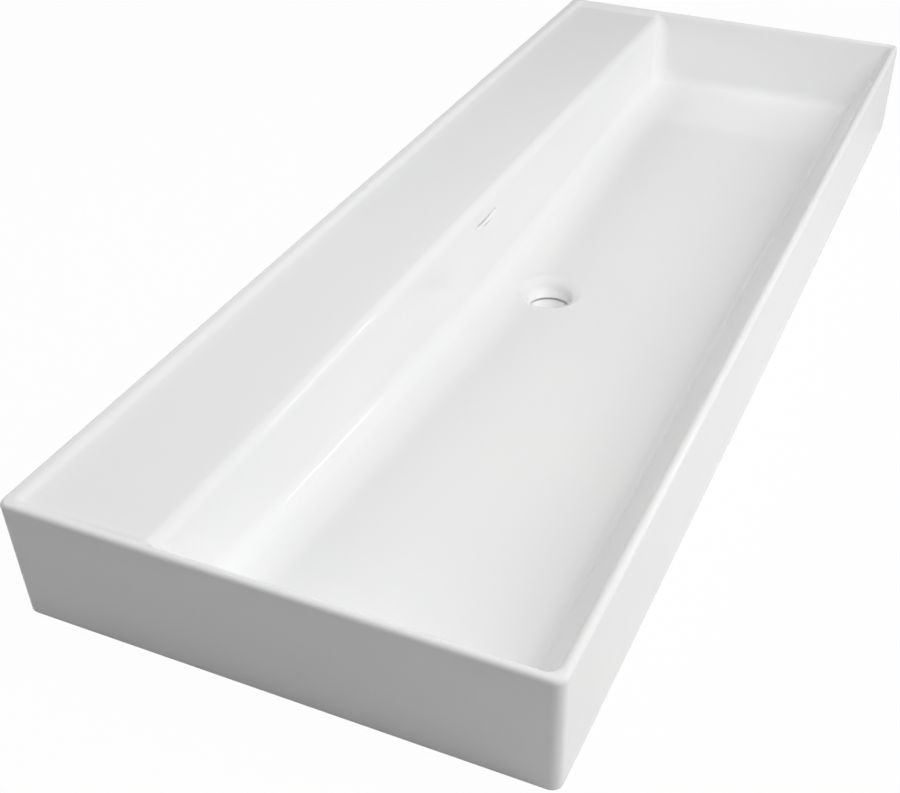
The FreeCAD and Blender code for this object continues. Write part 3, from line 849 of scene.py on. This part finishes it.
def biscuit_finish():
    """Biscuit: patches from the kiln, fine grain, dark grog grains, and a pitted height."""
    group, given, result = finish_group("fired_biscuit", {"Grain": 1.0}, FINISH_OUTPUTS)
    place = group.nodes.new("ShaderNodeTexCoord").outputs["Object"]
    patches = remap(group, noise(group, place, scale=9.0, detail=4.0, roughness=0.6), low=0.3, high=0.7)
    grog = specks(group, place, scale=420.0, size=0.22, share=0.18)
    tone = blend_colour(group, patches, BISCUIT_PALE, BISCUIT_DARK)
    grog_tint = combine(group, "MULTIPLY", grog, GROG_TINT)
    group.links.new(blend_colour(group, grog_tint, tone, BISCUIT_GRAIN), result.inputs["Color"])
    grain = noise(group, place, scale=700.0, detail=4.0, roughness=0.65)
    dullness = remap(group, grain, low=0.2, high=0.8, to_low=0.72, to_high=0.95)
    group.links.new(dullness, result.inputs["Roughness"])
    pitted = combine(group, "SUBTRACT", grain, combine(group, "MULTIPLY", grog, GROG_DIP))
    group.links.new(combine(group, "MULTIPLY", pitted, given.outputs["Grain"]), result.inputs["Height"])
    return group


glaze, biscuit = glaze_finish(), biscuit_finish()
print("finishes:", glaze.name, biscuit.name)

# %% [markdown]
# ## Two materials
# The body is one mesh with both finishes on it. Its points carry a number that says how bare they are,
# and the material mixes glaze and biscuit by that number, so the glaze ends at the foot of the apron as
# it does after wiping. The duct, the pads and the webs below are bare clay only.


# %% Make the materials and hand them out
def ceramic(name):
    """A material with a Principled shader and a Bump node on its normal."""
    material = bpy.data.materials.new(name)
    material.use_nodes = True
    tree = material.node_tree
    shader = tree.nodes["Principled BSDF"]
    shader.inputs["IOR"].default_value = CERAMIC_IOR
    bump = tree.nodes.new("ShaderNodeBump")
    tree.links.new(bump.outputs["Normal"], shader.inputs["Normal"])
    return material, tree, shader, bump


def placed(tree, group, **values):
    """A node group placed in a material with its own input values."""
    node = tree.nodes.new("ShaderNodeGroup")
    node.node_tree = group
    for label, value in values.items():
        node.inputs[label.replace("_", " ")].default_value = value
    return node.outputs


def body_material():
    """Glaze above and biscuit below, mixed by the bare attribute, with the bump's height in metres."""
    material, tree, shader, bump = ceramic("glazed_fireclay")
    top = placed(tree, glaze, Gloss_Roughness=GLAZE_ROUGHNESS, Ripple=GLAZE_RIPPLE)
    base = placed(tree, biscuit, Grain=BISCUIT_PITS)
    attribute = tree.nodes.new("ShaderNodeAttribute")
    attribute.attribute_name = "bare"
    bare = attribute.outputs["Fac"]
    tree.links.new(blend_colour(tree, bare, top["Color"], base["Color"]), shader.inputs["Base Color"])
    glossy = combine(tree, "MULTIPLY", top["Roughness"], combine(tree, "SUBTRACT", 1.0, bare))
    dull = combine(tree, "MULTIPLY", base["Roughness"], bare)
    tree.links.new(combine(tree, "ADD", glossy, dull), shader.inputs["Roughness"])
    smooth = combine(tree, "MULTIPLY", top["Height"], combine(tree, "SUBTRACT", 1.0, bare))
    rough = combine(tree, "MULTIPLY", base["Height"], bare)
    tree.links.new(combine(tree, "ADD", smooth, rough), bump.inputs["Height"])
    bump.inputs["Distance"].default_value = BUMP_HEIGHT
    return material


def biscuit_material():
    """Bare fired clay for the pieces under the basin."""
    material, tree, shader, bump = ceramic("bare_fireclay")
    base = placed(tree, biscuit, Grain=BISCUIT_PITS)
    tree.links.new(base["Color"], shader.inputs["Base Color"])
    tree.links.new(base["Roughness"], shader.inputs["Roughness"])
    tree.links.new(base["Height"], bump.inputs["Height"])
    bump.inputs["Distance"].default_value = BUMP_HEIGHT
    return material


glazed_fireclay, bare_fireclay = body_material(), biscuit_material()
basin_body.data.materials.append(glazed_fireclay)
for name, node in frame["nodes"].items():
    chosen = glazed_fireclay if name in GLAZED_NODES else bare_fireclay
    node.data.materials.clear()
    node.data.materials.append(chosen)
print("bare pieces:", [name for name in frame["nodes"] if name not in GLAZED_NODES])

# %% [markdown]
# ## Floor and surroundings
# The basin stands on a pale floor, as it would on a cabinet top, with an opening inside the apron for
# the drain boss to hang through. The camera and the reflections see the floor and the world as white,
# but only a dim share of that lights the basin, so its faces keep their shades. From below, the floor
# lets the view through.


# %% Lay the floor
FLOOR_REACH = 6.0
OPENING_INSET = APRON_WALL / 2
FLOOR_TONE = 0.75
MIRRORED_WHITE = 0.4
WHITE_SHARE = 0.97


def floor_mesh():
    """A square with an oblong opening: two closed runs of four corners and the band between them."""
    signs = np.array([(-1, -1), (1, -1), (1, 1), (-1, 1)], dtype=float)
    outer = signs * FLOOR_REACH
    inner = signs * [HALF - OPENING_INSET, HALF_DEPTH - OPENING_INSET]
    plan = np.concatenate([outer, inner]) + [0, MIDDLE_Y]
    points = np.column_stack([plan, np.zeros(len(plan))])
    start = np.arange(4)
    following = (start + 1) % 4
    faces = np.column_stack([start, following, following + 4, start + 4])
    mesh = bpy.data.meshes.new("pale_floor")
    mesh.from_pydata(points.tolist(), [], faces.tolist())
    return mesh


def seen_directly(tree):
    """1 for rays from the camera, a share for rays from a mirror or glass, 0 for light between surfaces."""
    path = tree.nodes.new("ShaderNodeLightPath")
    mirror = combine(tree, "ADD", path.outputs["Is Glossy Ray"], path.outputs["Is Transmission Ray"])
    mirrored = combine(tree, "MULTIPLY", mirror, MIRRORED_WHITE)
    return combine(tree, "MAXIMUM", path.outputs["Is Camera Ray"], mirrored)


def floor_material():
    """Pale diffuse floor; to the camera mostly white of its own, with a share left for the shadow."""
    material = bpy.data.materials.new("pale_floor")
    material.use_nodes = True
    tree = material.node_tree
    tree.nodes.clear()
    output = tree.nodes.new("ShaderNodeOutputMaterial")
    matt = tree.nodes.new("ShaderNodeBsdfDiffuse")
    matt.inputs["Color"].default_value = (FLOOR_TONE, FLOOR_TONE, FLOOR_TONE, 1)
    white = tree.nodes.new("ShaderNodeEmission")
    clear = tree.nodes.new("ShaderNodeBsdfTransparent")
    shown, turned = tree.nodes.new("ShaderNodeMixShader"), tree.nodes.new("ShaderNodeMixShader")
    geometry = tree.nodes.new("ShaderNodeNewGeometry")
    tree.links.new(combine(tree, "MULTIPLY", seen_directly(tree), WHITE_SHARE), shown.inputs[0])
    tree.links.new(matt.outputs[0], shown.inputs[1])
    tree.links.new(white.outputs[0], shown.inputs[2])
    tree.links.new(geometry.outputs["Backfacing"], turned.inputs[0])
    tree.links.new(shown.outputs[0], turned.inputs[1])
    tree.links.new(clear.outputs[0], turned.inputs[2])
    tree.links.new(turned.outputs[0], output.inputs["Surface"])
    return material


pale_floor = bpy.data.objects.new("pale_floor", floor_mesh())
bpy.context.scene.collection.objects.link(pale_floor)
pale_floor.data.materials.append(floor_material())
pale_floor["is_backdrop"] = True
opening = [round(2 * (half - OPENING_INSET) / mm) for half in (HALF, HALF_DEPTH)]
print("floor opening in mm:", *opening)

# %% [markdown]
# ## Light
# The left end is the darkest face, and the front, the rim and the rear wall of the bowl are about
# equally bright. So wide soft boxes stand in front at different heights, one high on the left, one over
# the bowl and one behind, and none on the left at the height of the basin. A narrow beam adds some light
# on the far end of the bowl. The powers were first found by rendering each box alone, because light adds
# up, and then trimmed by measured shades. The boxes don't show in the glaze. Two small sparks
# do, and they draw its thin bright lines. One more box below lights the underside and the waste hole.

# %% Set up the soft boxes and the world
WORLD_LIGHT = 0.02
SOFT_BOXES = {
    "middle_box": {"place": (0.3, -1.9, 2.1), "size": (1.8, 1.4), "power": 26.5, "mirrored": False},
    "front_box": {"place": (0.6, -2.6, 1.1), "size": (2.6, 1.2), "power": 16.2, "mirrored": False},
    "left_front_box": {"place": (-1.4, -1.7, 1.9), "size": (1.4, 1.4), "power": 2.8, "mirrored": False},
    "high_left_box": {"place": (-0.9, -0.9, 2.4), "size": (1.4, 1.2), "power": 20.4, "mirrored": False},
    "over_bowl_box": {"place": (-0.2, -0.25, 1.3), "size": (1.3, 0.5), "power": 3.4, "mirrored": False},
    "back_box": {"place": (0.2, 2.3, 1.8), "size": (2.4, 1.2), "power": 23.5, "mirrored": False},
    "under_box": {"place": (-0.45, -0.4, -1.0), "size": (1.2, 0.5), "power": 14.0, "mirrored": False},
    "far_end_box": {"place": (-0.55, -0.05, 0.42), "size": (0.3, 0.3), "power": 0.022, "mirrored": False,
                    "target": (0.57, -0.05, 0.08), "spread": 25},
    "right_spark": {"place": (1.74, -1.86, 1.02), "size": (0.5, 0.08), "power": 2.6, "mirrored": True},
    "left_spark": {"place": (-0.32, -2.76, 0.7), "size": (0.22, 0.22), "power": 0.8, "mirrored": True},
}


def turned_to(place, target):
    """A placement that looks from a place to a target: its third axis points away from the target."""
    back = np.subtract(place, target)
    back = back / np.linalg.norm(back)
    right = np.cross([0, 0, 1.0], back)
    right /= np.linalg.norm(right)
    placement = np.eye(4)
    placement[:3, :3] = np.column_stack([right, np.cross(back, right), back])
    placement[:3, 3] = place
    return Matrix(placement)


def soft_box(name, place, size, power, mirrored, target=(0, 0, 0), spread=180):
    """A lamp with its size in metres and spread in degrees, turned to a target, that reflections may show."""
    lamp = bpy.data.lights.new(name, "AREA")
    lamp.shape = "RECTANGLE"
    lamp.size, lamp.size_y = size
    lamp.energy = power
    lamp.spread = np.radians(spread)
    holder = bpy.data.objects.new(name, lamp)
    holder.matrix_world = turned_to(place, target)
    holder.visible_glossy = mirrored
    holder.visible_camera = False
    bpy.context.scene.collection.objects.link(holder)


def white_world():
    """White where the camera or a reflection looks, and a dim even light otherwise."""
    world = bpy.data.worlds.new("white_room")
    world.use_nodes = True
    tree = world.node_tree
    background = tree.nodes["Background"]
    background.inputs["Color"].default_value = (1, 1, 1, 1)
    strength = remap(tree, seen_directly(tree), 0.0, 1.0, WORLD_LIGHT, 1.0)
    tree.links.new(strength, background.inputs["Strength"])
    bpy.context.scene.world = world


for name, values in SOFT_BOXES.items():
    soft_box(name, **values)
white_world()
bpy.context.scene.view_settings.view_transform = "Standard"
print("lamps:", list(SOFT_BOXES))

# %% [markdown]
# ## Finish
# The box of the dressed basin is held against the box of the imported model, and the largest difference
# between their sides is printed, to show that dressing the basin didn't change its size.

# %% Write the sizes and finish
low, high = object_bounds()
grown = max(abs(a - b) for a, b in zip([*low, *high], [*cad_low, *cad_high]))
print("grown by at most, mm:", grown / mm)
